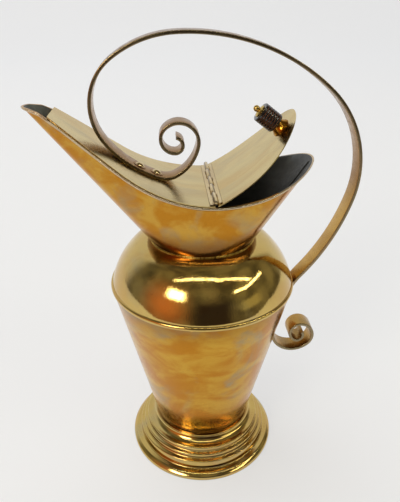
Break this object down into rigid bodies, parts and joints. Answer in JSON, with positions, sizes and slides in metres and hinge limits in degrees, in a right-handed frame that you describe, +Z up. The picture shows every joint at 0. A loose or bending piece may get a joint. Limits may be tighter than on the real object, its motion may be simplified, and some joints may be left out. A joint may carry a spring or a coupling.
{
  "type": "claret jug",
  "caption": "Tall sheet-brass claret jug with a stepped foot, domed shoulder, long covered spout, hinged lid with a dark knob and a scrolled strap handle.",
  "frame": {"origin": "centre of the foot on the surface the jug stands on, on the jug's own axis", "axes": "+Z up the jug's axis; the spout points to -X and the handle comes down on +X; the hinge and the lid's axis of turning run along Y"},
  "size_m": [0.2065, 0.126, 0.3013],
  "materials": {
    "orange_brass": "polished, warm and patchily tarnished",
    "polished_brass": "polished, greenish gold",
    "satin_brass": "pale satin with a fine lengthwise grain",
    "pale_brass": "pale, worn bright",
    "aged_brass": "dull and darkened inside",
    "bronzed_brass": "darkened edges, faces rubbed gold",
    "black_wood": "ebonised and polished"
  },
  "bodies": {
    "jug": {"foot": "polished_brass", "body_cone": "orange_brass", "bottom_disc": "aged_brass", "shoulder": "polished_brass", "shoulder_bead": "polished_brass", "mouth": "orange_brass", "seam_strip": "aged_brass", "rim_wire": "pale_brass", "spout_cover": "satin_brass", "hinge_leaf_fixed": "pale_brass", "hinge_pin": "pale_brass", "handle_strap": "bronzed_brass", "strap_rivets": "pale_brass", "rivet_washers": "aged_brass"},
    "lid": {"lid": "satin_brass", "hinge_leaf_lid": "pale_brass", "knob_collar": "orange_brass", "knob_grip": "black_wood", "knob_finial": "polished_brass", "knob_nut": "aged_brass"}
  },
  "joints": [
    {"name": "lid_hinge", "type": "hinge", "parent": "jug", "child": "lid", "pos_m": [0.0051, 0, 0.2116], "axis": [0, -1, 0], "range_deg": [-26.8, 64]}
  ]
}
